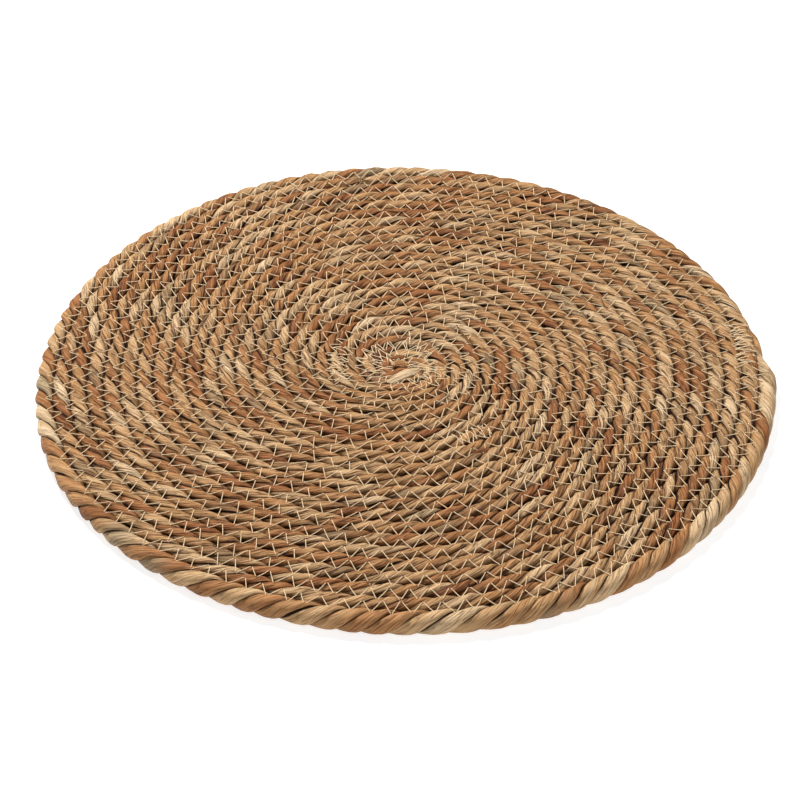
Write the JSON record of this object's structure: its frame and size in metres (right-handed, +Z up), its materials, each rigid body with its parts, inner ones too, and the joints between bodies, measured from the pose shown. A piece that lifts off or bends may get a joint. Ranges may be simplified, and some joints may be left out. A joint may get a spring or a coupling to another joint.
{
  "type": "round braided chair seat pad",
  "caption": "Flat round seat pad of dried water-plant leaf: a long plait stood on edge, wound into a spiral and sewn turn to turn with a zigzag thread.",
  "frame": {"origin": "middle of the underside, on the surface the pad lies on", "axes": "+Z up out of the sitting face; the loose end of the plait is at the rim on the +X side, and the spiral runs outwards counterclockwise seen from above"},
  "size_m": [0.38, 0.3757, 0.0115],
  "materials": {
    "plait": "dry plaited leaf, fibrous, slight sheen on the flats",
    "thread": "pale twisted sewing thread"
  },
  "bodies": {
    "root": {"centre_start": "plait", "turn_01": "plait", "turn_02": "plait", "turn_03": "plait", "turn_04": "plait", "turn_05": "plait", "turn_06": "plait", "turn_07": "plait", "turn_08": "plait", "turn_09": "plait", "turn_10": "plait", "turn_11": "plait", "turn_12": "plait", "turn_13": "plait", "turn_14": "plait", "turn_15": "plait", "turn_16": "plait", "turn_17": "plait", "turn_18": "plait", "turn_19": "plait", "turn_20": "plait", "turn_21": "plait", "turn_22": "plait", "tail_end": "plait", "needle_thread": "thread", "bobbin_thread": "thread", "start_tack": "thread", "end_tack": "thread"}
  },
  "joints": []
}
